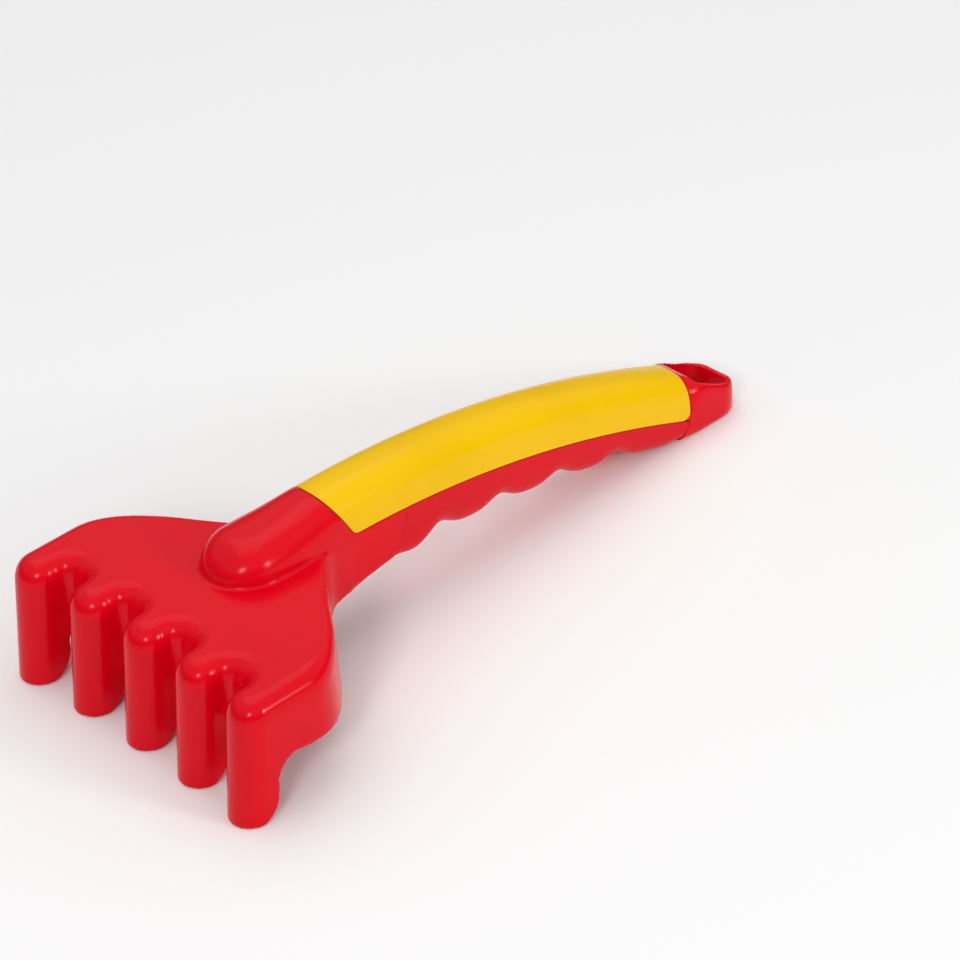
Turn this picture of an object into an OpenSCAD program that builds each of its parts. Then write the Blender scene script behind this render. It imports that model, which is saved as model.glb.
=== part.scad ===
// Sand rake for a child: a moulded head with hollow tines, a spine with a hang loop, and a grip
// made of a cover above and a finger shell below, which clip on to the spine.
// Shapes are drawn from the tine fronts: U runs back along the rake, Z is up from the ground.
// The finished part is moved so that its origin is on the ground under the middle.

/* [Head] */
// Number of tines
tine_count = 5; // [3:1:7]
// Distance from one tine to the next
tine_pitch = 26; // [22:0.5:32]
// Width of one tine
tine_w = 15; // [12:0.5:18]
// Depth of one tine, from its front to its open back
tine_depth = 12.5; // [10:0.5:16]
// Radius of the knuckle where a tine turns into the plate
knuckle_r = 7; // [5:0.5:9]
// Height of the plate's top over the tine tips
plate_h = 41.5; // [38:0.5:44]
// How far a tine's foot stands in front of its knuckle
tine_rake = 6; // [0:0.5:10]
// How far the middle tine stands behind the outer ones
tine_bow = 3; // [0:0.5:6]
// Distance from the tine fronts to the end of the flared plate
head_l = 88; // [85:1:92]
// How far the flared plate stays inside the outer tines on each side
flare_in = 0.6; // [0.2:0.2:3]
// Wall of the moulded head, tines and neck
body_wall = 2.2; // [1.6:0.1:3]
// Radius of the plate's rolled edge
edge_r = 4; // [3:0.5:5.5]
// Radius between a tine's open back and the skirt's lower edge
foot_r = 7; // [3:0.5:9]
// Radius of a tine's tip at its open back
tip_r = 4; // [1:0.5:4]
// Radius of a tine's tip at its front
toe_r = 1.4; // [0.4:0.2:1.6]
// Height of the skirt's lower edge beside the tines
skirt_h = 19.5; // [16:0.5:22]
// How far the skirt's lower edge sags behind the tines
skirt_sag = 1; // [0:0.5:3]

/* [Handle] */
// Width of the handle
grip_w = 23.6; // [22:0.2:28]
// Height of the ridge at the front of the cover
ridge_h = 53.5; // [51:0.5:57]
// Height of the ridge at the back of the cover
tail_ridge_h = 21.8; // [20.4:0.2:24]
// How far the ridge arches over a straight line
ridge_arch = 8.5; // [6:0.5:11]
// Height of the seam under the cover at its front
seam_h = 38.8; // [37:0.2:41]
// Height of the seam under the cover at its back
tail_seam_h = 12.2; // [11:0.2:14]
// How far the seam arches over a straight line
seam_arch = 5; // [3:0.2:6.4]
// Height of the neck's underside
neck_h = 21; // [19:0.2:24]
// How far the neck's underside dips between the flare and the shell
neck_dip = 2; // [0:0.2:3]
// How far the underside arches over a straight line
belly_arch = 4.5; // [3:0.5:6]
// Distance from the tine fronts to the front of the cover, on the ridge
cover_start = 81; // [79:1:84]
// Length of the cover along the ridge
cover_l = 154; // [140:1:166]
// How far the cover's front edge leans back, from the ridge to the seam
front_lean = 7.4; // [4:0.2:10]
// How far the cover's back edge leans forward, from the ridge to the seam
back_lean = 2.4; // [1:0.2:5]

/* [Boss] */
// Distance from the tine fronts to the nose of the boss
nose_start = 40; // [37:1:46]
// Length of the boss's rounded nose
nose_l = 15; // [12:1:18]

/* [Grip] */
// Wall of the cover and of the finger shell
grip_wall = 2; // [1.6:0.1:2.4]
// Wall of the spine inside the grip
spine_wall = 2; // [1.6:0.1:2.6]
// Gap between two pieces that meet
fit_gap = 0.2; // [0.1:0.05:0.3]
// Depth of the spine's side walls below the seam
tongue_h = 5; // [4:0.5:6]
// Distance from the cover's front corner to the shell's front corner, along the seam
shell_set_back = 22; // [18:1:28]
// How far the shell's front end leans forward, from the seam to the underside
shell_front_lean = 8; // [4:0.5:12]
// How far the shell's back end leans forward, from the seam to the underside
shell_back_lean = 4; // [2:0.5:7]
// Number of finger hollows
hollow_count = 4; // [2:1:4]
// Distance from the shell's front to the first finger hollow
hollow_start = 21; // [18:1:24]
// Distance from one finger hollow to the next
hollow_pitch = 25.4; // [22:0.2:28]
// Depth of a finger hollow between its lobes
hollow_h = 3.6; // [1:0.2:4.4]
// Radius of the cover's lower corners
corner_r = 4; // [2:0.5:5]

/* [Snap windows] */
// Number of snap windows on each side
window_count = 3; // [2:1:4]
// Length of a snap window
window_l = 9; // [7:0.5:12]
// Height of a snap window above the seam, and below it
window_h = 3; // [2.4:0.2:3.4]
// Length of a catch that sits in a window
catch_l = 7; // [4:0.5:7]
// How far a catch stands out from its wall
catch_t = 1.4; // [0.8:0.1:1.8]

/* [Hang loop] */
// Length of the loop behind the cover
loop_l = 22.5; // [21:0.5:30]
// Height of the loop at its end
loop_h = 11; // [9:0.5:13]
// Wall of the loop at its sides
loop_wall = 3.4; // [2.6:0.2:4.4]
// Wall of the loop at its end
loop_end_wall = 2.6; // [2:0.2:4]
// Length of the loop's eye
eye_l = 16; // [12:0.5:17]
// Radius of the loop's outer corners
loop_r = 8; // [5:0.5:10]

/* [Hidden] */

overall_l = cover_start + cover_l + loop_l;
head_w = (tine_count - 1) * tine_pitch + tine_w;
valley_u = tine_rake + tine_depth;
cover_end = cover_start + cover_l;
seam_start = cover_start + front_lean;
seam_end = cover_end - back_lean;
shell_start = seam_start + shell_set_back;
belly_start = shell_start - shell_front_lean;
belly_end = seam_end - shell_back_lean;
flare_w = head_w - 2 * flare_in;

// Shape shares, with no unit
flare_share = 0.13;
flare_power_share = 1.06;
crown_share = 2.6;
belly_share = 4;
loop_share = 6;
plate_side_steps = 18;
round_steps = 4;
section_steps = 16;
cover_steps = 20;
shell_steps = 40;
spine_steps = 14;
// How far a cut runs past the surface that it opens
overrun = 4;
// How deep the spine is rooted in the neck and in the tail
root_l = 5;
// How deep the corner fillers sink into the keel
seam_sink = 0.8;

// Height over a straight line from (u0, z0) to (u1, z1), with a parabola of the given rise added
function arch(u, u0, z0, u1, z1, rise) =
    let (t = (u - u0) / (u1 - u0))
    z0 + (z1 - z0) * t + 4 * rise * t * (1 - t);

function clamp(x, low, high) = min(max(x, low), high);

// Half a cosine wave that climbs from 0 to 1 as x goes from 0 to 1
function ease(x) = 0.5 - 0.5 * cos(180 * clamp(x, 0, 1));

// How far a quarter circle of radius r has drawn in at a distance d before its end
function draw_in(r, d) = d >= r ? 0 : r - sqrt(max(0, r * r - (r - d) * (r - d)));

// Triangles of a strip between row i and row i + 1 of a grid with m points a row
function strip(i, m, last, k, flip) =
    [for (j = [0:last])
        let (a = k + i * m + j, b = k + i * m + (j + 1) % m, c = a + m, d = b + m)
        each flip ? [[a, b, d], [a, d, c]] : [[a, d, b], [a, c, d]]];

// Solid carried through closed rings of equal counts, with a point at the middle of each end.
// Rings turn clockwise when they are seen from the last one.
module ring_solid(rings, first_middle, last_middle) {
    n = len(rings);
    m = len(rings[0]);
    points = [each [for (ring = rings) each ring], first_middle, last_middle];
    sides = [for (i = [0:n - 2]) each strip(i, m, m - 1, 0, false)];
    first = [for (j = [0:m - 1]) [n * m, j, (j + 1) % m]];
    last = [for (j = [0:m - 1]) [n * m + 1, (n - 1) * m + (j + 1) % m, (n - 1) * m + j]];
    polyhedron(points = points, faces = concat(sides, first, last), convexity = 6);
}

// Sheet with a thickness: a grid of outer points and a grid of inner points, closed all round
module thick_sheet(outer, inner) {
    n = len(outer);
    m = len(outer[0]);
    k = n * m;
    points = [each [for (row = outer) each row], each [for (row = inner) each row]];
    out_faces = [for (i = [0:n - 2]) each strip(i, m, m - 2, 0, false)];
    in_faces = [for (i = [0:n - 2]) each strip(i, m, m - 2, k, true)];
    edge_a = [for (i = [0:n - 2]) let (a = i * m, b = a + m) each [[a, a + k, b + k], [a, b + k, b]]];
    edge_b = [for (i = [0:n - 2])
        let (a = i * m + m - 1, b = a + m) each [[a, b + k, a + k], [a, b, b + k]]];
    end_a = [for (j = [0:m - 2]) each [[j, j + 1, j + 1 + k], [j, j + 1 + k, j + k]]];
    end_b = [for (j = [0:m - 2])
        let (a = k - m + j) each [[a, a + 1 + k, a + 1], [a, a + k, a + 1 + k]]];
    polyhedron(points = points, faces = concat(out_faces, in_faces, edge_a, edge_b, end_a, end_b),
        convexity = 8);
}

// The handle's three long curves, seen from the side
function ridge_line(u) = arch(u, cover_start, ridge_h, cover_end, tail_ridge_h, ridge_arch);
function seam_line(u) = arch(u, seam_start, seam_h, seam_end, tail_seam_h, seam_arch);
function belly_line(u) = arch(u, belly_start, neck_h, belly_end, 0, belly_arch);
// Finger hollows are a cosine wave with narrow crests, which fades out at both ends of the shell
function hollow_wave(u) =
    let (turns = (u - belly_start - hollow_start) / hollow_pitch,
        crest = turns > hollow_count - 0.5 ? 0 : pow(0.5 + 0.5 * cos(360 * turns), 1.5),
        fade = ease((u - belly_start) / hollow_start * 2) * ease((belly_end - u) / hollow_start * 2))
    hollow_h * (crest - 0.5) * fade;
function mix(a, b, t) = a + (b - a) * t;
// Cover stations: t runs from its front edge to its back edge
function ridge_point(t) = let (u = mix(cover_start, cover_end, t)) [u, ridge_line(u)];
function seam_point(t) = let (u = mix(seam_start, seam_end, t)) [u, seam_line(u)];
// Shell stations, where t runs from the shell's front end to its back end
function shell_top(t) = let (u = mix(shell_start, seam_end, t)) [u, seam_line(u)];
function shell_bottom(t) =
    let (u = mix(belly_start, belly_end, t)) [u, max(0, belly_line(u) + hollow_wave(u))];

// Points of a half section that rises from side to side through the peak, as a superellipse.
// low, peak and inset are measured in the handle's own plane, from side point s to peak point p.
function bow_section(s, p, half_w, inset, low_share, n, steps) =
    let (reach = norm(p - s), share = (reach - inset) / reach,
        start = asin(pow(low_share, n / 2)))
    [for (i = [0:steps])
        let (a = start + (180 - 2 * start) * i / steps,
            y = sign(cos(a)) * pow(abs(cos(a)), 2 / n),
            h = pow(abs(sin(a)), 2 / n),
            q = s + (p - s) * share * h)
        [q[0], (half_w - inset) * y, q[1]]];

// Cover: its lower corners are rounded by lifting the lower edge near both ends
function corner_lift(t) = draw_in(corner_r, min(t, 1 - t) * cover_l);
function cover_row(t, inset, low_z) =
    let (s = seam_point(t), p = ridge_point(t))
    bow_section(s, p, grip_w / 2, inset, low_z / norm(p - s), crown_share, section_steps);

// Places along the grip from 0 to 1, closer together at its rounded corners
function grip_places(n) =
    let (gap = fit_gap / cover_l, c = corner_r / cover_l,
        corner = [for (s = [0, 0.08, 0.3, 0.6]) gap + c * s])
    concat(corner, [for (i = [0:n]) gap + c + (1 - 2 * gap - 2 * c) * i / n],
        [for (i = [3:-1:0]) 1 - corner[i]]);

// Shell: it hangs from the seam
function reversed(a) = [for (i = [len(a) - 1:-1:0]) a[i]];
function shell_row(t, inset) =
    let (s = shell_top(t), b = shell_bottom(t))
    reversed(bow_section(s, b, grip_w / 2, inset, fit_gap / norm(b - s), belly_share, section_steps));

module placed() {
    translate([-overall_l / 2, 0, 0]) children();
}

// Plan of the plate
function bow(y) = tine_bow * (1 - pow(2 * y / head_w, 2));
function half_plan(u) =
    let (s = (u - valley_u) / (head_l - valley_u),
        x = clamp((s - flare_share) / (1 - flare_share), 0, 1))
    grip_w / 2 + (flare_w - grip_w) / 2 * (1 - ease(pow(x, flare_power_share)))
        - flare_in * (1 - ease(s / flare_share)) / 2;
function plan_ring() =
    let (n = plate_side_steps, m = tine_count + 3,
        side = [for (i = [0:n]) let (u = valley_u + (head_l - valley_u) * i / n) [u, half_plan(u)]],
        y0 = half_plan(valley_u))
    concat([for (p = side) [p[0], -p[1]]], reversed(side),
        [for (j = [1:m - 1]) let (y = y0 * (1 - 2 * j / m)) [valley_u + bow(y), y]]);

// Ring moved inwards by d, with mitred corners
function inset_ring(ring, d) =
    let (n = len(ring),
        normals = [for (i = [0:n - 1])
            let (e = ring[(i + 1) % n] - ring[i]) [-e[1], e[0]] / norm(e)])
    [for (i = [0:n - 1])
        let (a = normals[(i + n - 1) % n], b = normals[i])
        ring[i] + d * (a + b) / (1 + a * b)];

function skirt_line(u) =
    let (s = clamp((u - valley_u) / (head_l - valley_u), 0, 1))
    skirt_h + (neck_h - neck_dip - skirt_h) * ease(s) - skirt_sag * ease(min(s / 0.2, (0.5 - s) / 0.3));
function raise(ring, z) = [for (p = ring) [p[0], p[1], z]];
plate_middle = [valley_u + edge_r * 4, 0, plate_h];

module plate_outside() {
    ring = plan_ring();
    skirt = [for (p = ring) [p[0], p[1], skirt_line(p[0])]];
    roll = [for (k = [0:round_steps])
        let (a = 90 * k / round_steps)
        raise(inset_ring(ring, edge_r * (1 - cos(a))), plate_h - edge_r * (1 - sin(a)))];
    ring_solid(concat([skirt], roll), [plate_middle[0], 0, skirt_h], plate_middle);
}

module plate_inside() {
    inner_r = edge_r - body_wall;
    ring = plan_ring();
    roll = [for (k = [0:2:round_steps])
        let (a = 90 * k / round_steps)
        raise(inset_ring(ring, body_wall + inner_r * (1 - cos(a))), plate_h - edge_r + inner_r * sin(a))];
    ring_solid(concat([raise(inset_ring(ring, body_wall), -overrun)], roll),
        [plate_middle[0], 0, -overrun], plate_middle - [0, 0, body_wall]);
}

// Tines: each is a deep arch in plan, open behind and below, that rolls over into the plate
knuckle_top = plate_h - body_wall * 0.2;
knuckle_back = valley_u + tine_bow + edge_r + body_wall;
function tine_y(i) = tine_pitch * (i - (tine_count - 1) / 2);
function tine_ring(y, z, side, front, back) =
    let (f = bow(y) + tine_rake * z / plate_h + front, w = tine_w / 2 - side)
    [[back, y + w, z], each [for (a = [90:-18:-90]) [f + w * (1 - cos(a)), y + w * sin(a), z]],
        [back, y - w, z]];
function tine_back(y, z) =
    let (foot = bow(y) + tine_rake * z / plate_h + tine_depth, up = z - (skirt_h - foot_r))
    up <= 0 ? foot - draw_in(tip_r, z) : foot + foot_r - sqrt(max(0, foot_r * foot_r - up * up));

module tine_outside(y) {
    toe = [for (z = [0, toe_r * 0.3, toe_r])
        tine_ring(y, z, draw_in(toe_r, z), draw_in(toe_r, z), tine_back(y, z))];
    low = [for (z = [tip_r * 0.6, tip_r, each [for (k = [1, 0.6, 0.25, 0.03]) skirt_h - foot_r * k]])
        tine_ring(y, z, 0, 0, tine_back(y, z))];
    high = [for (z = [skirt_h + foot_r * 0.05, knuckle_top - knuckle_r])
        tine_ring(y, z, 0, 0, knuckle_back)];
    dome = [for (k = [1:round_steps + 1])
        let (z = knuckle_top - knuckle_r * (1 - sin(90 * k / (round_steps + 1))))
        tine_ring(y, z, draw_in(edge_r, knuckle_top - z), draw_in(knuckle_r, knuckle_top - z), knuckle_back)];
    ring_solid(concat(toe, low, high, dome), [tine_depth / 2 + bow(y), y, 0], [valley_u, y, knuckle_top]);
}

module tine_inside(y) {
    top = knuckle_top - body_wall;
    rings = [for (s = [[-overrun, 0], [top - edge_r + body_wall, 0], [top, edge_r - body_wall]])
        tine_ring(y, s[0], body_wall + s[1], body_wall + s[1], knuckle_back + body_wall)];
    ring_solid(rings, [valley_u, y, -overrun], [valley_u, y, top]);
}

// Half space behind the cover's front edge, above the seam, and behind the shell's front end, below it
module behind_front_seams() {
    lean = front_lean / (ridge_h - seam_h);
    shell_lean = shell_front_lean / (seam_line(shell_start) - neck_h);
    rotate([90, 0, 0]) linear_extrude(height = head_w, center = true)
        polygon([[cover_start - lean * overrun, ridge_h + overrun], [seam_start, seam_h],
            [shell_start, seam_line(shell_start)],
            [belly_start - shell_lean * overrun, neck_h - overrun], [overall_l, neck_h - overrun],
            [overall_l, ridge_h + overrun]]);
}

// Boss and neck: the handle's section carried on to the front, where a quarter ellipse closes it
function nose_shrink(d) = d >= nose_l ? 1 : sqrt(max(0, 1 - pow(1 - d / nose_l, 2)));
function neck_station(u, inset) =
    let (k = nose_shrink(u - nose_start - inset),
        lean = front_lean * clamp((u - nose_start) / (cover_start - nose_start), 0, 1))
    [[u + lean, seam_h], [u, seam_h + (ridge_h - seam_h) * k], [u + lean, neck_h - neck_dip], grip_w / 2 * k];
function inner_points(a) = [for (i = [1:len(a) - 2]) a[i]];
function closed_section(st, n_top, n_low) =
    let (top = bow_section(st[0], st[1], st[3], 0, 0, n_top, section_steps),
        low = bow_section(st[0], st[2], st[3], 0, 0, n_low, section_steps / 2))
    concat(top, reversed(inner_points(low)));
function neck_us(from) =
    [each [for (s = [0.01, 0.06, 0.16, 0.32, 0.55, 1]) from + nose_l * s],
        (from + nose_l + cover_start) / 2, cover_start];

module neck_outside() {
    rings = [for (u = neck_us(nose_start)) closed_section(neck_station(u, 0), crown_share, belly_share)];
    ring_solid(rings, [nose_start, 0, seam_h], [seam_start, 0, seam_h]);
}

// Keel: the neck's lower half, which runs on under the cover's front to the shell
module keel() {
    steps = 4;
    rings = [for (i = [-1:steps])
        let (t = i / steps, u = mix(seam_start, shell_start, t), b = mix(seam_start, belly_start, t),
            s = [u, seam_line(u) - fit_gap / 2])
        reversed(bow_section(s, [b, neck_h - neck_dip * (1 - t)], grip_w / 2, 0, 0, belly_share, section_steps))];
    first = rings[0][section_steps / 2];
    last = rings[steps + 1][section_steps / 2];
    ring_solid(rings, [first[0], 0, seam_h - fit_gap], [mix(shell_start, last[0], 0.3), 0, seam_h - overrun]);
}

// Fillers under the cover's rounded lower corners, rooted in the neck and the tail
module corner_fills() {
    inset = spine_inset + spine_wall / 2;
    steps = 4;
    root = 0.8 / cover_l;
    for (end = [0, 1], y = [-1, 1]) {
        foot = end == 0 ? seam_sink : fit_gap / 2;
        rings = [for (i = [0:steps])
            let (d = corner_r / cover_l * i / steps, t = end == 0 ? (i == 0 ? -root : d)
                    : (i == steps ? 1 + root : 1 - corner_r / cover_l + d),
                top = max(corner_lift(t) - fit_gap, fit_gap / 2), skin = i == (end == 0 ? 0 : steps) ? fit_gap : 0,
                out_row = cover_row(t, skin, top), in_row = cover_row(t, inset, top), s = seam_point(t),
                ring = [[s[0], grip_w / 2 - fit_gap / 2, s[1] - foot], out_row[0], in_row[0],
                    [s[0], grip_w / 2 - inset, s[1] - foot]])
            y > 0 ? ring : reversed([for (p = ring) [p[0], -p[1], p[2]]])];
        ring_solid(rings, ring_middle(rings[0]), ring_middle(rings[steps]));
    }
}
function ring_middle(ring) = (ring[0] + ring[1] + ring[2] + ring[3]) / 4;

// Sections of the spine and of the cavity under it: an arch with straight legs
function legs(top, z) =
    let (n = len(top) - 1)
    concat(top, [[top[n][0], top[n][1], z], [top[0][0], top[0][1], z]]);
function spine_arch(t, inset) =
    bow_section(seam_point(t), ridge_point(t), grip_w / 2, inset, 0, crown_share, section_steps);
root_share = root_l / cover_l;
spine_inset = grip_wall + fit_gap;

module spine_outside() {
    ts = [-root_share, each [for (i = [0:spine_steps]) i / spine_steps], 1 + root_share];
    rings = [for (t = ts) legs(spine_arch(t, spine_inset), seam_point(t)[1] - tongue_h)];
    ring_solid(rings, [seam_point(ts[0])[0], 0, seam_point(ts[0])[1]],
        [seam_point(1 + root_share)[0], 0, seam_point(1 + root_share)[1]]);
}

module cavity() {
    core = spine_inset + spine_wall;
    neck_part = [for (u = neck_us(nose_start + body_wall))
        if (u < cover_start)
            let (st = neck_station(u, body_wall))
            legs(bow_section(st[0], st[1], st[3], body_wall * min(1, st[3] / grip_w * 2), 0,
                crown_share, section_steps), -overrun)];
    ts = [-2 * root_share, each [for (i = [0:spine_steps]) (1 - root_share) * i / spine_steps]];
    spine_part = [for (t = ts) legs(spine_arch(t, core), -overrun)];
    end = seam_point(1 - root_share);
    ring_solid(concat(neck_part, spine_part), [nose_start + body_wall, 0, seam_h], [end[0], 0, end[1]]);
}

module snap_windows() {
    for (k = [0:window_count - 1]) {
        t = (k + 0.5) / window_count;
        s = shell_top(t);
        translate([s[0], 0, s[1]]) rotate([0, seam_angle(t), 0])
            cube([window_l, grip_w - grip_wall, 2 * window_h], center = true);
    }
}
// Slope of the seam at a station of the shell
function seam_angle(t) = let (a = shell_top(t - 0.01), b = shell_top(t + 0.01)) atan2(a[1] - b[1], b[0] - a[0]);

// Hang loop: the handle's section turns square and drops to the loop's height.
// Its underside is drawn a little low and is cut flat on the ground, where the rake rests.
rest_cut = 0.8;
loop_w = grip_w - loop_end_wall * 0.4;
eye_w = loop_w - 2 * loop_wall;
eye_r = eye_w * 0.3;
eye_start = overall_l - loop_end_wall - eye_l;
function loop_station(s) =
    let (u = cover_end + loop_l * s, fall = pow(1 - s, 1.4), lean = back_lean * (1 - s),
        low = shell_back_lean * (1 - s))
    [[u - lean, loop_h / 2 + (tail_seam_h - loop_h / 2) * fall],
        [u, loop_h + (tail_ridge_h - loop_h) * fall], [u - lean - low, -rest_cut],
        grip_w / 2 - (grip_w - loop_w) / 2 * s - draw_in(loop_r, loop_l * (1 - s))];

module loop_outside() {
    near_end = 1 - loop_r / loop_l;
    shares = [0, near_end * 0.25, near_end * 0.5, near_end,
        each [for (s = [0.4, 0.7, 0.88, 0.97, 1]) near_end + (1 - near_end) * s]];
    rings = [for (s = shares)
        closed_section(loop_station(s), mix(crown_share, loop_share, min(1, s * 2)),
            mix(belly_share, loop_share, min(1, s * 2)))];
    ring_solid(rings, [seam_end, 0, tail_seam_h], [overall_l, 0, loop_h / 2]);
}

module eye() {
    translate([eye_start, 0, -overrun]) linear_extrude(height = tail_ridge_h + 2 * overrun) {
        translate([eye_r, -eye_w / 2]) square([eye_l - 2 * eye_r, eye_w]);
        translate([0, eye_r - eye_w / 2]) square([eye_l, eye_w - 2 * eye_r]);
        for (u = [eye_r, eye_l - eye_r], y = [eye_r - eye_w / 2, eye_w / 2 - eye_r])
            translate([u, y]) circle(r = eye_r, $fn = 48);
    }
}

module rake_body() {
    color("#e1141f") placed() difference() {
        union() {
            difference() {
                plate_outside();
                behind_front_seams();
            }
            for (i = [0:tine_count - 1]) tine_outside(tine_y(i));
            neck_outside();
            keel();
            spine_outside();
            corner_fills();
            loop_outside();
        }
        plate_inside();
        for (i = [0:tine_count - 1]) tine_inside(tine_y(i));
        cavity();
        snap_windows();
        eye();
        translate([seam_start, -head_w / 2, -overrun]) cube([overall_l, head_w, overrun]);
    }
}

// Catch: a wedge on a wall's inside, whose flat side holds against the end of its window.
// It stands above the seam on the cover (up = 1) and below it on the shell (up = -1).
module catches(up) {
    root = grip_wall / 2;
    for (k = [0:window_count - 1], side = [-1, 1]) {
        t = (k + 0.5) / window_count;
        s = shell_top(t);
        translate([s[0], side * (grip_w / 2 - grip_wall), s[1]]) rotate([0, seam_angle(t), 0])
            translate([-catch_l / 2, 0, 0]) rotate([90, 0, 90])
            linear_extrude(height = catch_l)
            polygon([[side * root, up * fit_gap * 3], [-side * fit_gap, up * fit_gap * 3],
                [-side * catch_t, up * (window_h - fit_gap)], [side * root, up * (window_h - fit_gap)]]);
    }
}

module grip_cover() {
    color("#fbd008") placed() {
        ts = grip_places(cover_steps);
        thick_sheet([for (t = ts) cover_row(t, 0, corner_lift(t) + fit_gap / 2)],
            [for (t = ts) cover_row(t, grip_wall, corner_lift(t) + fit_gap / 2)]);
        catches(1);
    }
}

module grip_shell() {
    color("#d5121c") placed() {
        ts = grip_places(shell_steps);
        thick_sheet([for (t = ts) shell_row(t, 0)], [for (t = ts) shell_row(t, grip_wall)]);
        catches(-1);
    }
}

rake_body();
grip_cover();
grip_shell();
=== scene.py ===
"""Child's sand rake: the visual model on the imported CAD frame.

Shapes are worked out in millimetres. U runs back from the tine fronts, Y to the side, Z up from
the ground, and the row frame's X is U - OVERALL / 2.
The body is one moulding, so its surface is the zero level of a distance field, meshed by dual
contouring. The cover and the lower shell are surfaces swept along the handle.
"""
import bpy
import math
import numpy as np
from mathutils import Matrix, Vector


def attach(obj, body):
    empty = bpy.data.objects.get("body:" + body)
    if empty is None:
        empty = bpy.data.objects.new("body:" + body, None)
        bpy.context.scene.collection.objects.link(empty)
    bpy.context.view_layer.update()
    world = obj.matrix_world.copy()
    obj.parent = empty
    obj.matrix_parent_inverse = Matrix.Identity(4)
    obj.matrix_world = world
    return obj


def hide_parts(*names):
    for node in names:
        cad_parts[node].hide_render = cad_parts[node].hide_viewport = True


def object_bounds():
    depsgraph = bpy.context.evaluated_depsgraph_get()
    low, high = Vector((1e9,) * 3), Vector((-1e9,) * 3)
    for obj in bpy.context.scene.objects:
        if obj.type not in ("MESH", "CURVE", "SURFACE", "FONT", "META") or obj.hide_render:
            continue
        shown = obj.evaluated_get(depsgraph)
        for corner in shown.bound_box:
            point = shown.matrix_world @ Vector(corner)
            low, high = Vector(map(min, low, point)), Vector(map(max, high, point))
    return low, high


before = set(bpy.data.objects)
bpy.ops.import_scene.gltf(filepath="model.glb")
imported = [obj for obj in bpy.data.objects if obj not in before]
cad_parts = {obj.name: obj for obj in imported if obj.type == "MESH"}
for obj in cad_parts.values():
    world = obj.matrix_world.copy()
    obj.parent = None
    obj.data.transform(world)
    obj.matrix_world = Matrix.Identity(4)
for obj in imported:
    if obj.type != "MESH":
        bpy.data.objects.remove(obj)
cad_box = [list(corner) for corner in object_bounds()]

# Sizes in millimetres. Most are the same as in the part's source. These differ from it, to follow
# the photograph more closely: the radii of knuckles, tips and toes, the seam's tail end and arch,
# and the loop's height, walls, eye and corners
TINES, PITCH, TINE_W, TINE_DEPTH = 5, 26.0, 15.0, 12.5
PLATE_H, TINE_RAKE, TINE_BOW = 41.5, 6.0, 3.0
HEAD_L, WALL, SIDE_R, KNUCKLE_R = 88.0, 2.2, 2.0, 6.2
FOOT_R, TIP_R, TOE_R, SKIRT_H, SKIRT_SAG = 7.0, 8.5, 0.9, 19.5, 1.0
GRIP_W, RIDGE_H, TAIL_RIDGE_H, RIDGE_ARCH = 23.6, 53.5, 21.8, 8.5
SEAM_H, TAIL_SEAM_H, SEAM_ARCH = 38.8, 7.2, 7.0
NECK_H, NECK_DIP, BELLY_ARCH = 21.0, 2.0, 4.5
COVER_START, COVER_L, FRONT_LEAN, BACK_LEAN = 81.0, 154.0, 7.4, 2.4
NOSE_START, NOSE_L = 40.0, 15.0
GRIP_WALL, SPINE_WALL, GAP, FINE_GAP, TONGUE = 2.0, 2.0, 0.2, 0.06, 5.0
SHELL_BACK, SHELL_FRONT_LEAN, SHELL_BACK_LEAN = 22.0, 8.0, 4.0
HOLLOWS, HOLLOW_START, HOLLOW_PITCH, HOLLOW_H = 4, 21.0, 25.4, 3.6
CORNER_R, FRONT_CORNER_R = 4.0, 2.0
LOOP_L, LOOP_H, LOOP_WALL, LOOP_END, EYE_L, LOOP_R = 22.5, 10.3, 2.0, 2.4, 16.4, 7.0
CROWN, BELLY = 2.6, 4.0

OVERALL = COVER_START + COVER_L + LOOP_L
HEAD_W = (TINES - 1) * PITCH + TINE_W
VALLEY = TINE_RAKE + TINE_DEPTH
WEB, SLOT_R, WEB_ROLL = VALLEY - 1.5, 3.8, 1.2
COVER_END = COVER_START + COVER_L
SEAM_START, SEAM_END = COVER_START + FRONT_LEAN, COVER_END - BACK_LEAN
SHELL_START = SEAM_START + SHELL_BACK
BELLY_START, BELLY_END = SHELL_START - SHELL_FRONT_LEAN, SEAM_END - SHELL_BACK_LEAN
HALF_W = GRIP_W / 2
# The flare starts and spans these shares of the head behind the valley, and sinks into the neck
FLARE_START, FLARE_SPAN, FLARE_POWER, FLARE_SINK = 0.175, 0.74, 1.1, 2.5
# Where the plate starts to fall to the neck, over what length and how far
FALL_START, FALL_L, PLATE_FALL = 32.0, 54.0, 2.4
# The boss's nose is wider and lower than the neck by these, and stands on the plate in a fillet
NOSE_SETBACK, NOSE_WIDER, NOSE_LOWER, BOSS_FILLET = 0.4, 2.4, 1.3, 1.2
# Behind the nose, where its extra width fades out, and ahead of the cover, where it rises again
NOSE_FADE_START, NOSE_FADE_L, NOSE_RISE_LEAD, NOSE_RISE_L = 16.0, 34.0, 16.0, 20.0
# The slots' extra roll sets in at this U. Behind the valley, the roll tightens to the side's radius
WEB_ROLL_START, WEB_ROLL_L, TIGHTEN_START, TIGHTEN_L = 12.0, 7.0, 12.0, 26.0
# Power of the roll's section, and its reach as a share of the radius that it stands for
ROLL_POWER, ROLL_REACH = 2.6, 1.3
# Radii of the neck's lower edges, the moulding's inner rim and the skirt's rim
NECK_R, RIM_R, SKIRT_R = 3.0, 0.4, 0.6
# The head's field is used up to one U and the loop's from another, both inside the grip
HEAD_REACH, LOOP_REACH = 150.0, 200.0
# How far the spine runs on under the neck and into the loop
SPINE_FRONT, SPINE_TAIL = 12.0, 3.0
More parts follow.
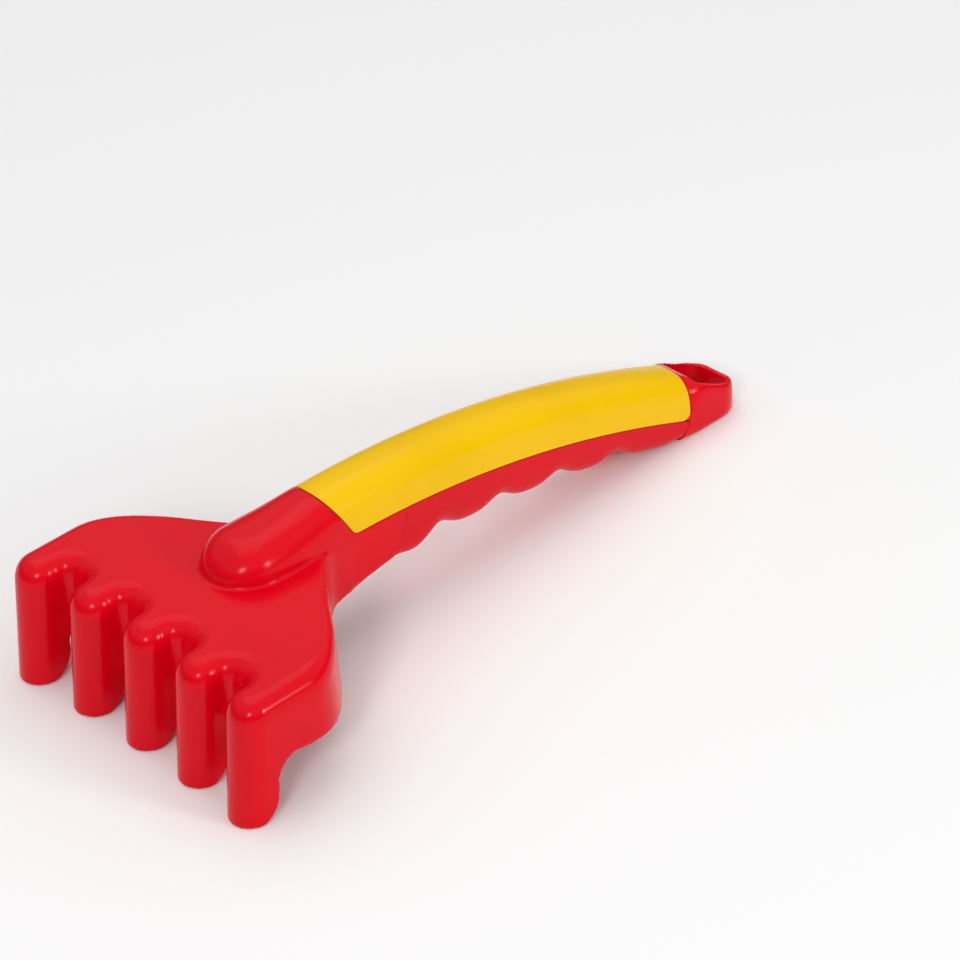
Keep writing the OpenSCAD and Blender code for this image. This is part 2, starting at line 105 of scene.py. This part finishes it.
# How much the loop narrows, its section's power, and the radii of its end, foot, rim and eye
LOOP_DRAW, LOOP_POWER, LOOP_FOOT_POWER = 0.52, 9, 6
LOOP_END_R, LOOP_FOOT_R, EYE_RIM_R, EYE_FRONT_R, EYE_BACK_R = 1.2, 0.5, 0.7, 2.6, 5.2
# Rounding of the cover's and the shell's end edges, and the depth over which it happens
END_R, END_DEPTH = 0.35, 0.8
# Power of the shell's section where it meets the squarer neck, added to BELLY over this share
SHELL_SQUARE, SHELL_SQUARE_SHARE = 5, 0.16
# Steps across a half section
SECTION_STEPS = 64
# Edge of a meshing cell in millimetres
CELL = 1.0


def clamp(x, low=0.0, high=1.0):
    return np.clip(x, low, high)


def ease(x):
    """Half a cosine wave from 0 to 1."""
    return 0.5 - 0.5 * np.cos(np.pi * clamp(x))


def arch(u, u0, z0, u1, z1, rise):
    """A straight line from one point to another, raised by a parabola: 4 rise t (1 - t)."""
    t = (u - u0) / (u1 - u0)
    return z0 + (z1 - z0) * t + 4 * rise * t * (1 - t)


def ridge_line(u):
    return arch(u, COVER_START, RIDGE_H, COVER_END, TAIL_RIDGE_H, RIDGE_ARCH)


def seam_line(u):
    return arch(u, SEAM_START, SEAM_H, SEAM_END, TAIL_SEAM_H, SEAM_ARCH)


def belly_line(u):
    return arch(u, BELLY_START, NECK_H, BELLY_END, 0.0, BELLY_ARCH)


def soft_min(a, b, k):
    """Union with a fillet of about k: min(a, b) - max(k - |a - b|, 0)^2 / (4 k)."""
    h = np.maximum(k - np.abs(a - b), 0.0)
    return np.minimum(a, b) - h * h / (4 * k)


def round_max(a, b, r):
    """Intersection with an edge of radius r."""
    return (np.minimum(np.maximum(a + r, b + r), 0.0)
            + np.hypot(np.maximum(a + r, 0.0), np.maximum(b + r, 0.0)) - r)


def soft_max(a, b, r):
    """Intersection with an edge that rolls over gently: its section is a superellipse, which cuts
    the corner about as much as the radius r would."""
    r = ROLL_REACH * r
    bend = np.maximum(a + r, 0.0) ** ROLL_POWER + np.maximum(b + r, 0.0) ** ROLL_POWER
    bend = bend ** (1 / ROLL_POWER)
    return np.minimum(np.maximum(a + r, b + r), 0.0) + bend - r


def round_min(a, b, r):
    """Union with a fillet of radius r in the corner."""
    return (np.maximum(np.minimum(a - r, b - r), 0.0)
            - np.hypot(np.minimum(a - r, 0.0), np.minimum(b - r, 0.0)) + r)


def oval(y, h, a, b, n):
    """Distance to a superellipse (|y| / a)^n + (h / b)^n = 1, measured towards its middle."""
    s = ((np.abs(y) / a) ** n + (np.abs(h) / b) ** n) ** (1.0 / n) + 1e-6
    return np.hypot(y, h) * (1.0 - 1.0 / s)


def side_plane(u, z, high, low):
    """Distance behind a seam that runs from the point high down to the point low, in side view."""
    du, dz = high[0] - low[0], high[1] - low[1]
    length = math.hypot(du, dz)
    return ((u - low[0]) * dz - (z - low[1]) * du) / length


def bow(y):
    return TINE_BOW * (1 - (2 * y / HEAD_W) ** 2)


def half_plan(u):
    """Half the plate's width: the outer tines' width, drawn in to the neck by half a cosine wave."""
    x = ((u - VALLEY) / (HEAD_L - VALLEY) - FLARE_START) / FLARE_SPAN
    return HALF_W + (HEAD_W / 2 - HALF_W) * (1 - ease(clamp(x) ** FLARE_POWER))


def tine_front(y, z):
    return bow(y) + TINE_RAKE * z / PLATE_H


def plate_top(u):
    """The plate's top, which falls a little towards the neck."""
    return PLATE_H - PLATE_FALL * ease((u - FALL_START) / FALL_L)


def side_wall(u, y):
    """Distance outside the head's side, from its half width and how fast that changes. Its last
    stretch sinks into the neck."""
    slope = half_plan(u + 0.5) - half_plan(u - 0.5)
    sink = FLARE_SINK * ease((u - HEAD_L + 6) / 12)
    return (np.abs(y) - half_plan(u) + sink) / np.sqrt(1 + slope ** 2)


def head_plan(u, y, z):
    """Plan of the plate and tines at a height: inside the sides, behind the tines' half-round
    fronts, less the slots between the tines, each with a round-cornered end."""
    half = (TINES - 1) / 2
    slot_y = PITCH * (clamp(np.floor(y / PITCH), -half, half - 1) + 0.5)
    across = np.abs(y - slot_y) - (PITCH - TINE_W) / 2 + SLOT_R
    along = u - WEB - bow(slot_y) + SLOT_R
    slot = (SLOT_R - np.hypot(np.maximum(across, 0.0), np.maximum(along, 0.0))
            - np.minimum(np.maximum(across, along), 0.0))
    tine_y = PITCH * clamp(np.round(y / PITCH), -half, half)
    r = TINE_W / 2
    ahead = tine_front(tine_y, z) + r - u
    front = np.hypot(np.maximum(ahead, 0.0), y - tine_y) - r + 4 * np.minimum(ahead, 0.0)
    plan = np.maximum(np.maximum(side_wall(u, y), slot), front)
    return np.maximum(plan, u - HEAD_L - 6.0)


def head_top(u, y, z):
    """The plan closed by the plate's top. Its edge rolls down from a faint line, widest behind the
    slots, round on the knuckles and tight along the flare's back."""
    between = 0.5 - 0.5 * np.cos(2 * np.pi * y / PITCH) * (-1) ** (TINES - 1)
    between = between * (np.abs(y) < HEAD_W / 2 - TINE_W / 2)
    roll = KNUCKLE_R + WEB_ROLL * between * ease((u - WEB_ROLL_START) / WEB_ROLL_L)
    roll = roll + (SIDE_R - roll) * ease((u - VALLEY - TIGHTEN_START) / TIGHTEN_L)
    top = z - plate_top(u)
    return np.maximum(soft_max(head_plan(u, y, z), top - 0.1, roll), top)


def boss_column(u, y, z):
    """The boss and neck: the handle's arch above the seam's height, straight below it, a little
    wider and lower towards the nose, which is closed in front by a quarter ellipse."""
    ahead = 1 - ease((u - NOSE_START - NOSE_FADE_START) / NOSE_FADE_L)
    w = HALF_W + NOSE_WIDER * ahead
    q = np.maximum(NOSE_START + NOSE_SETBACK + NOSE_L - u, 0.0) / NOSE_L
    level = np.where(u > SEAM_START, seam_line(u), SEAM_H)
    h = np.maximum(z - level, 0.0)
    lower = NOSE_LOWER * (1 - ease((u - COVER_START + NOSE_RISE_LEAD) / NOSE_RISE_L))
    top = np.where(u > COVER_START, ridge_line(u), RIDGE_H) - lower
    s = (np.abs(y) / w) ** CROWN + (h / (top - level)) ** CROWN
    s = np.sqrt(s ** (2 / CROWN) + q ** 2) + 1e-6
    return np.sqrt(y * y + h * h + (q * NOSE_L) ** 2) * (1.0 - 1.0 / s)


def skirt_line(u):
    s = clamp((u - VALLEY) / (HEAD_L - VALLEY))
    return (SKIRT_H + (NECK_H - NECK_DIP - SKIRT_H) * ease(s)
            - SKIRT_SAG * ease(np.minimum(s / 0.2, (0.5 - s) / 0.3)))


def head_column(u, y, z):
    """Plate, tines and boss, with a fillet where the boss stands on the plate."""
    return soft_min(head_top(u, y, z), boss_column(u, y, z), BOSS_FILLET)


def head_shell(u, y, z):
    """The hollow head and neck, open from below, with its lower edge cut along the skirt and tines."""
    outer = head_column(u, y, z)
    low = skirt_line(u) - z
    foot = u - (tine_front(y, z) + TINE_DEPTH)
    edge = round_min(low, foot, FOOT_R)
    toe = round_max(-z, foot, TIP_R)
    dip = NECK_DIP * (1 - clamp((u - SEAM_START) / (BELLY_START - SEAM_START)))
    neck = round_max(outer, NECK_H - dip - z, NECK_R)
    blend = ease((u - HEAD_L + 10) / 14)
    closed = round_max(outer, -z, TOE_R) * (1 - blend) + neck * blend
    shell = round_max(closed, -(outer + WALL), RIM_R)
    shell = round_max(shell, edge, SKIRT_R)
    return np.maximum(shell, np.where(z < TIP_R, toe, -1e3))


def cover_zone(u, z):
    """Side view of the cover: above the seam, between its two leaning ends, with rounded corners."""
    above = seam_line(u) - z
    front = -side_plane(u, z, (COVER_START, RIDGE_H), (SEAM_START, SEAM_H))
    back = side_plane(u, z, (COVER_END, TAIL_RIDGE_H), (SEAM_END, TAIL_SEAM_H))
    return np.maximum(round_max(above, front, FRONT_CORNER_R), round_max(above, back, CORNER_R))


def shell_zone(u, z):
    below = z - seam_line(u)
    front = -side_plane(u, z, (SHELL_START, seam_line(SHELL_START)), (BELLY_START, NECK_H))
    back = side_plane(u, z, (SEAM_END, TAIL_SEAM_H), (BELLY_END, 0.0))
    return np.maximum(below, np.maximum(front, back))


def grip_arch(u, y, z):
    """The handle's outside above the seam, carried straight down."""
    h = np.maximum(z - seam_line(u), 0.0)
    return oval(y, h, HALF_W, ridge_line(u) - seam_line(u), CROWN)


def spine(u, y, z):
    """The arch inside the grip, with two legs below the seam."""
    g = grip_arch(u, y, z) + GRIP_WALL + GAP
    arch_wall = np.maximum(g, -(g + SPINE_WALL))
    ends = np.maximum(SEAM_START - SPINE_FRONT - u, u - COVER_END - SPINE_TAIL)
    return np.maximum(np.maximum(arch_wall, ends), seam_line(u) - TONGUE - z)


def hang_loop(u, y, z):
    """The loop: the handle's section turns square, drops to the loop's height and is cut by its eye."""
    s = clamp((u - COVER_END) / LOOP_L)
    cover_lean = BACK_LEAN * clamp((TAIL_RIDGE_H - z) / (TAIL_RIDGE_H - TAIL_SEAM_H))
    shell_lean = SHELL_BACK_LEAN * clamp((TAIL_SEAM_H - z) / TAIL_SEAM_H)
    s = clamp((u + (cover_lean + shell_lean) * (1 - s) - COVER_END) / LOOP_L)
    fall = (1 - s) ** 1.4
    middle = LOOP_H / 2 + (TAIL_SEAM_H - LOOP_H / 2) * fall
    top = LOOP_H + (TAIL_RIDGE_H - LOOP_H) * fall
    width = HALF_W - LOOP_DRAW * s
    d = np.maximum(LOOP_L * (1 - s), 0)
    draw = np.where(d < LOOP_R, LOOP_R - np.sqrt(np.maximum(LOOP_R ** 2 - (LOOP_R - d) ** 2, 0)), 0)
    a = width - draw
    k = ease(s * 2.2)
    up, down = CROWN + (LOOP_POWER - CROWN) * k, BELLY + (LOOP_FOOT_POWER - BELLY) * k
    h = z - middle
    upper = oval(y, np.maximum(h, 0), a, top - middle, up)
    lower = oval(y, np.minimum(h, 0), a, middle + 0.8, down)
    body = np.where(h > 0, upper, lower)
    slope = 1 + 0.5 * np.minimum(draw, 4) / 4
    body = round_max(body / slope, u - OVERALL, LOOP_END_R)
    body = round_max(body, -z, LOOP_FOOT_R)
    eye_half = HALF_W - 0.5 - LOOP_WALL
    start = OVERALL - LOOP_END - EYE_L
    r = np.where(u < start + EYE_L / 2, EYE_FRONT_R, EYE_BACK_R)
    eu = np.abs(u - (start + EYE_L / 2)) - EYE_L / 2 + r
    ey = np.abs(y) - eye_half + r
    eye = np.hypot(np.maximum(eu, 0), np.maximum(ey, 0)) + np.minimum(np.maximum(eu, ey), 0) - r
    return round_max(body, -eye, EYE_RIM_R)


def body_field(u, y, z):
    """The whole moulding: head shell and loop outside the zones of cover and lower shell, and the
    spine that joins them."""
    front = np.maximum(head_shell(u, y, z), u - HEAD_REACH)
    tail = np.maximum(hang_loop(u, y, z), LOOP_REACH - u)
    skin = round_max(np.minimum(front, tail), GAP - cover_zone(u, z), 0.35)
    skin = round_max(skin, FINE_GAP - shell_zone(u, z), 0.15)
    return np.minimum(skin, spine(u, y, z))


def gradient(field, p, e=0.08):
    """Unit gradient by differences over the four corners of a tetrahedron."""
    g = np.zeros_like(p)
    for k in ((1, 1, 1), (1, -1, -1), (-1, 1, -1), (-1, -1, 1)):
        k = np.array(k, float)
        q = p + k * e
        g += k * field(q[:, 0], q[:, 1], q[:, 2])[:, None]
    return g / np.maximum(np.linalg.norm(g, axis=1, keepdims=True), 1e-9)


def dual_contour(field, low, high, cell):
    """Quads on the zero level of a field. Each cell that the surface crosses gets one point, the
    least-squares meeting point of the tangent planes at its crossed edges, pulled a little to
    their mean. Each crossed edge gets the quad of its four cells."""
    n = [int(math.ceil((h - l) / cell)) for l, h in zip(low, high)]
    axes = [low[k] + cell * np.arange(n[k] + 1) for k in range(3)]
    values = np.empty([m + 1 for m in n], np.float32)
    step = 24
    for a in range(0, n[0] + 1, step):
        grid = np.meshgrid(axes[0][a:a + step], axes[1], axes[2], indexing="ij")
        values[a:a + step] = field(*grid)
    values[values == 0] = 1e-6
    inside = values < 0
    edges = []
    for k in range(3):
        lo = [slice(None)] * 3
        hi = [slice(None)] * 3
        lo[k], hi[k] = slice(0, -1), slice(1, None)
        cross = np.argwhere(inside[tuple(lo)] != inside[tuple(hi)])
        v0 = values[tuple(cross.T)]
        far = cross.copy()
        far[:, k] += 1
        v1 = values[tuple(far.T)]
        base = np.array(low) + cell * cross
        t0, t1 = np.zeros(len(cross)), np.ones(len(cross))
        t = v0 / (v0 - v1)
        for _ in range(6):
            p = base.copy()
            p[:, k] += cell * t
            v = field(p[:, 0], p[:, 1], p[:, 2])
            same = (v < 0) == (v0 < 0)
            t0, t1 = np.where(same, t, t0), np.where(same, t1, t)
            t = 0.5 * (t0 + t1)
        p = base.copy()
        p[:, k] += cell * t
        edges.append((cross, p, gradient(field, p), k, v0 < 0))
    # Sums of each cell's planes
    keys, points, normals = [], [], []
    for cross, p, g, k, _ in edges:
        a, b = [(1, 2), (2, 0), (0, 1)][k]
        for da in (0, -1):
            for db in (0, -1):
                c = cross.copy()
                c[:, a] += da
                c[:, b] += db
                keys.append((c[:, 0] * (n[1] + 2) + c[:, 1]) * (n[2] + 2) + c[:, 2])
                points.append(p)
                normals.append(g)
    all_keys = np.concatenate(keys)
    points, normals = np.concatenate(points), np.concatenate(normals)
    cells, inverse = np.unique(all_keys, return_inverse=True)
    m = len(cells)
    count = np.bincount(inverse, minlength=m)[:, None]
    mean = np.stack([np.bincount(inverse, points[:, k], m) for k in range(3)], 1) / count
    ata = np.zeros((m, 3, 3))
    atb = np.zeros((m, 3))
    rel = points - mean[inverse]
    d = (normals * rel).sum(1)
    for a in range(3):
        atb[:, a] = np.bincount(inverse, normals[:, a] * d, m)
        for b in range(3):
            ata[:, a, b] = np.bincount(inverse, normals[:, a] * normals[:, b], m)
    weight = 0.03
    for a in range(3):
        ata[:, a, a] += weight
    shift = np.linalg.solve(ata, atb[:, :, None])[:, :, 0]
    rows = cells // (n[2] + 2)
    index = np.stack([rows // (n[1] + 2), rows % (n[1] + 2), cells % (n[2] + 2)], 1)
    corner = np.array(low) + cell * index
    verts = np.clip(mean + shift, corner, corner + cell)
    faces = []
    start = 0
    for cross, p, g, k, first_in in edges:
        s = len(cross)
        ids = [inverse[start + j * s:start + (j + 1) * s] for j in range(4)]
        start += 4 * s
        quad = np.stack([ids[0], ids[1], ids[3], ids[2]], 1)
        quad = np.where(first_in[:, None], quad[:, ::-1], quad)
        faces.append(quad)
    return verts, np.concatenate(faces)


def to_row(p):
    """Millimetres in U, Y, Z to metres in the row frame."""
    return (np.asarray(p) - np.array([OVERALL / 2, 0, 0])) / 1000.0


def new_piece(name, verts, faces, corner_normals=None):
    """A mesh piece in the row frame, smooth shaded, with closed outward faces, kept in the CAD box."""
    mesh = bpy.data.meshes.new(name)
    verts = np.clip(to_row(verts), cad_box[0], cad_box[1])
    faces = np.asarray(faces, np.int32)
    mesh.vertices.add(len(verts))
    mesh.vertices.foreach_set("co", verts.astype(np.float32).ravel())
    mesh.loops.add(faces.size)
    mesh.loops.foreach_set("vertex_index", faces.ravel())
    mesh.polygons.add(len(faces))
    mesh.polygons.foreach_set("loop_start", np.arange(0, faces.size, faces.shape[1], dtype=np.int32))
    mesh.update(calc_edges=True)
    mesh.polygons.foreach_set("use_smooth", np.ones(len(faces), bool))
    if corner_normals is not None:
        mesh.normals_split_custom_set(corner_normals.tolist())
    mesh.validate()
    obj = bpy.data.objects.new(name, mesh)
    bpy.context.scene.collection.objects.link(obj)
    return obj


def field_normals(field, verts, faces):
    """One normal for each face corner, read from the field a little towards the face's middle,
    so that a hard edge stays hard and a round one stays round."""
    v = verts[faces]
    middle = v.mean(1, keepdims=True)
    p = (v + 0.3 * (middle - v)).reshape(-1, 3)
    soft = gradient(field, p)
    flat = np.cross(v[:, 2] - v[:, 0], v[:, 3] - v[:, 1])
    flat = np.repeat(flat / np.maximum(np.linalg.norm(flat, axis=1, keepdims=True), 1e-9), 4, axis=0)
    agree = (soft * flat).sum(1, keepdims=True)
    return np.where(agree > 0.6, soft, flat)


def srgb(code):
    """Linear RGBA of an sRGB hex colour."""
    c = [int(code[i:i + 2], 16) / 255 for i in (1, 3, 5)]
    return [x / 12.92 if x <= 0.04045 else ((x + 0.055) / 1.055) ** 2.4 for x in c] + [1.0]


def moulded_plastic(name, colour, shade, roughness, ripple_mm, ripple_depth):
    """Injection-moulded plastic: a pigment that varies very little, a gloss that wanders slightly
    where the mould was polished by hand, and a faint ripple from the flow of the melt."""
    material = bpy.data.materials.new(name)
    material.use_nodes = True
    nodes, links = material.node_tree.nodes, material.node_tree.links
    shader = nodes["Principled BSDF"]
    coords = nodes.new("ShaderNodeTexCoord")
    broad = nodes.new("ShaderNodeTexNoise")
    broad.inputs["Scale"].default_value = 1000 / 38.0
    broad.inputs["Detail"].default_value = 2.0
    mix = nodes.new("ShaderNodeMix")
    mix.data_type = "RGBA"
    mix.inputs["A"].default_value = srgb(shade)
    mix.inputs["B"].default_value = srgb(colour)
    spread = nodes.new("ShaderNodeMapRange")
    spread.inputs["From Min"].default_value = 0.3
    spread.inputs["From Max"].default_value = 0.55
    gloss = nodes.new("ShaderNodeMapRange")
    gloss.inputs["From Min"].default_value = 0.3
    gloss.inputs["From Max"].default_value = 0.7
    gloss.inputs["To Min"].default_value = roughness * 0.85
    gloss.inputs["To Max"].default_value = roughness * 1.15
    fine = nodes.new("ShaderNodeTexNoise")
    fine.inputs["Scale"].default_value = 1000 / ripple_mm
    fine.inputs["Detail"].default_value = 1.5
    bump = nodes.new("ShaderNodeBump")
    bump.inputs["Strength"].default_value = 1.0
    bump.inputs["Distance"].default_value = ripple_depth / 1000
    for noise in (broad, fine):
        links.new(coords.outputs["Object"], noise.inputs["Vector"])
    links.new(broad.outputs["Fac"], spread.inputs["Value"])
    links.new(spread.outputs["Result"], mix.inputs["Factor"])
    links.new(mix.outputs["Result"], shader.inputs["Base Color"])
    links.new(broad.outputs["Fac"], gloss.inputs["Value"])
    links.new(gloss.outputs["Result"], shader.inputs["Roughness"])
    links.new(fine.outputs["Fac"], bump.inputs["Height"])
    links.new(bump.outputs["Normal"], shader.inputs["Normal"])
    shader.inputs["IOR"].default_value = 1.5
    shader.inputs["Specular IOR Level"].default_value = 0.16
    return material


# Glossy moulded polypropylene, pigment red: head, neck, spine and loop
BODY_RED = moulded_plastic("moulded_red_polypropylene", "#E2001A", "#DC0018", 0.19, 6.0, 0.006)
# The same red on the lower shell, from another mould
SHELL_RED = moulded_plastic("moulded_red_polypropylene_shell", "#DE001A", "#D60018", 0.2, 6.0, 0.006)
# Satin moulded polypropylene, pigment yellow: the cover
COVER_YELLOW = moulded_plastic("moulded_yellow_polypropylene", "#F7C500", "#F3C000", 0.24, 7.0, 0.006)


def build_body():
    low = (-1.7, -HEAD_W / 2 - 1.3, -1.4)
    high = (OVERALL + 1.5, HEAD_W / 2 + 1.5, RIDGE_H + 4.5)
    verts, faces = dual_contour(body_field, low, high, CELL)
    normals = field_normals(body_field, verts, faces)
    return new_piece("rake_body_moulding", verts, faces, normals)


def section(s, p, half_w, n, steps, start, inset):
    """Half section from side to side through the peak p, as a superellipse in the handle's plane."""
    reach = np.linalg.norm(p - s)
    a0 = math.asin(start ** (n / 2))
    a = np.linspace(a0, math.pi - a0, steps + 1)
    y = np.sign(np.cos(a)) * np.abs(np.cos(a)) ** (2 / n) * (half_w - inset)
    h = np.sin(a) ** (2 / n) * (reach - inset) / reach
    q = s + (p - s) * h[:, None]
    return np.stack([q[:, 0], y, q[:, 1]], 1)


def sheet_faces(rows, cols):
    """Quads of a closed sheet: an outer grid, an inner grid and the rim between them, all facing out."""
    k = rows * cols
    i, j = np.meshgrid(np.arange(rows - 1), np.arange(cols - 1), indexing="ij")
    a = (i * cols + j).ravel()
    outer = np.stack([a, a + 1, a + cols + 1, a + cols], 1)
    inner = outer[:, ::-1] + k
    i = np.arange(rows - 1) * cols
    rim_a = np.stack([i, i + cols, i + k + cols, i + k], 1)
    rim_b = np.stack([i + cols - 1, i + k + cols - 1, i + k + 2 * cols - 1, i + 2 * cols - 1], 1)
    j = np.arange(cols - 1)
    rim_c = np.stack([j, j + k, j + 1 + k, j + 1], 1)
    e = k - cols + j
    rim_d = np.stack([e, e + 1, e + k + 1, e + k], 1)
    return np.concatenate([outer, inner, rim_a, rim_b, rim_c, rim_d])


def places(n, length, ends):
    """Stations from a gap after 0 to a gap before 1, crowded at both rounded ends."""
    c = CORNER_R / length
    corner = c * (1 - np.cos(np.linspace(0, math.pi / 2, 12)))
    gap = ends / length
    inner = np.linspace(c, 1 - c, n)
    return np.unique(np.clip(np.concatenate([corner[:-1], inner, 1 - corner[::-1][1:]]), gap, 1 - gap))


def end_rounding(t):
    """How far a section near either end draws in: a quarter circle over the end depth."""
    d = min(t, 1 - t) * COVER_L
    return END_R * (1 - math.sqrt(max(0, 1 - (1 - min(d / END_DEPTH, 1)) ** 2)))


def build_cover():
    """The cover: superellipse sections between seam and ridge, with its lower corners lifted."""
    steps = SECTION_STEPS
    rows_out, rows_in = [], []
    ts = places(90, COVER_L, GAP)
    for t in ts:
        us, ur = SEAM_START + (SEAM_END - SEAM_START) * t, COVER_START + COVER_L * t
        s = np.array([us, float(seam_line(us))])
        p = np.array([ur, float(ridge_line(ur))])
        reach = np.linalg.norm(p - s)
        d = min(t, 1 - t) * COVER_L
        r = FRONT_CORNER_R if t < 0.5 else CORNER_R
        lift = r - math.sqrt(max(0, r ** 2 - (r - min(d, r)) ** 2))
        low = (lift + GAP / 2) / reach
        rows_out.append(section(s, p, HALF_W, CROWN, steps, low, end_rounding(t)))
        rows_in.append(section(s, p, HALF_W, CROWN, steps, low, GRIP_WALL))
    return sweep_piece("grip_cover_moulding", rows_out, rows_in, steps)


def hollow_wave(u):
    """Finger hollows: a cosine wave with narrow crests, which fades out at both ends."""
    turns = (u - BELLY_START - HOLLOW_START) / HOLLOW_PITCH
    crest = np.where(turns > HOLLOWS - 0.5, 0, (0.5 + 0.5 * np.cos(2 * np.pi * turns)) ** 1.5)
    fade = ease((u - BELLY_START) / HOLLOW_START * 2) * ease((BELLY_END - u) / HOLLOW_START * 2)
    return HOLLOW_H * (crest - 0.5) * fade


def build_shell():
    """The lower shell: the same kind of section, hung from the seam, over the finger hollows."""
    steps = SECTION_STEPS
    rows_out, rows_in = [], []
    ts = places(170, BELLY_END - BELLY_START, FINE_GAP)
    for t in ts:
        us = SHELL_START + (SEAM_END - SHELL_START) * t
        ub = BELLY_START + (BELLY_END - BELLY_START) * t
        s = np.array([us, float(seam_line(us))])
        b = np.array([ub, max(0.0, float(belly_line(ub) + hollow_wave(ub)))])
        reach = np.linalg.norm(b - s)
        n = BELLY + SHELL_SQUARE * (1 - float(ease(t / SHELL_SQUARE_SHARE)))
        rows_out.append(section(s, b, HALF_W, n, steps, GAP / reach, end_rounding(t))[::-1])
        rows_in.append(section(s, b, HALF_W, n, steps, GAP / reach, GRIP_WALL)[::-1])
    return sweep_piece("grip_shell_moulding", rows_out, rows_in, steps)


def sweep_piece(name, rows_out, rows_in, steps):
    verts = np.concatenate([np.concatenate(rows_out), np.concatenate(rows_in)])
    faces = sheet_faces(len(rows_out), steps + 1)
    obj = new_piece(name, verts, faces)
    obj.data.set_sharp_from_angle(angle=math.radians(42))
    return obj


def dress(obj, node, material):
    obj.data.materials.append(material)
    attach(obj, "root")
    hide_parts(node)


dress(build_body(), "rake_body", BODY_RED)
dress(build_cover(), "grip_cover", COVER_YELLOW)
dress(build_shell(), "grip_shell", SHELL_RED)


def plain(name, colour, roughness):
    """A matt painted surface for the floor of the studio."""
    material = bpy.data.materials.new(name)
    material.use_nodes = True
    shader = material.node_tree.nodes["Principled BSDF"]
    shader.inputs["Base Color"].default_value = srgb(colour)
    shader.inputs["Roughness"].default_value = roughness
    shader.inputs["Specular IOR Level"].default_value = 0.2
    return material


floor_mesh = bpy.data.meshes.new("studio_floor")
floor_mesh.from_pydata([(-6, -6, -0.0002), (6, -6, -0.0002), (6, 6, -0.0002), (-6, 6, -0.0002)],
                       [], [(0, 1, 2, 3)])
floor = bpy.data.objects.new("studio_floor", floor_mesh)
bpy.context.scene.collection.objects.link(floor)
floor.data.materials.append(plain("studio_floor_paint", "#FAFAFA", 0.9))


def lamp(name, place, target, size, power, shape="DISK"):
    """An area light at a place, in metres, that faces a target."""
    data = bpy.data.lights.new(name, "AREA")
    data.shape = shape
    data.size = size
    data.energy = power
    obj = bpy.data.objects.new(name, data)
    bpy.context.scene.collection.objects.link(obj)
    x, y, z = (np.array(target) - np.array(place))
    obj.location = place
    obj.rotation_euler = (math.atan2(math.hypot(x, y), -z), 0, math.atan2(x, -y) + math.pi)
    return obj


lamp("front_lamp_left", (-1.05, -0.72, 0.85), (-0.05, 0, 0.03), 0.32, 4.6)
lamp("front_lamp_right", (0.36, -1.25, 0.5), (-0.05, 0, 0.03), 0.32, 4.6)
lamp("top_softbox", (0.3, 0.5, 1.8), (0, 0, 0), 1.6, 7.4, "SQUARE")

# A pale studio round the object, brighter above than at the sides
world = bpy.data.worlds.new("studio")
world.use_nodes = True
sky = world.node_tree.nodes["Background"]
direction = world.node_tree.nodes.new("ShaderNodeTexCoord")
height = world.node_tree.nodes.new("ShaderNodeSeparateXYZ")
glow = world.node_tree.nodes.new("ShaderNodeMapRange")
glow.inputs["From Min"].default_value = 0.3
glow.inputs["From Max"].default_value = 0.55
glow.inputs["To Min"].default_value = 0.15
glow.inputs["To Max"].default_value = 0.72
world.node_tree.links.new(direction.outputs["Generated"], height.inputs["Vector"])
world.node_tree.links.new(height.outputs["Z"], glow.inputs["Value"])
world.node_tree.links.new(glow.outputs["Result"], sky.inputs["Strength"])
sky.inputs["Color"].default_value = srgb("#FFFFFF")
bpy.context.scene.world = world
bpy.context.scene.view_settings.view_transform = "Standard"

# The photograph's camera, found from the head and the handle in both rakes, then turned slightly so
# that the tail lies nearer to the photograph's
camera_data = bpy.data.cameras.new("photo_camera")
camera_data.lens = 133.581
camera_data.sensor_width = 36.0
camera_data.clip_end = 50
camera = bpy.data.objects.new("photo_camera", camera_data)
camera.location = (-0.575834, -0.735081, 0.666169)
camera.rotation_euler = [math.radians(a) for a in (55.6074, 4.96675, -42.45438)]
bpy.context.scene.collection.objects.link(camera)
bpy.context.scene.camera = camera

bpy.context.view_layer.update()
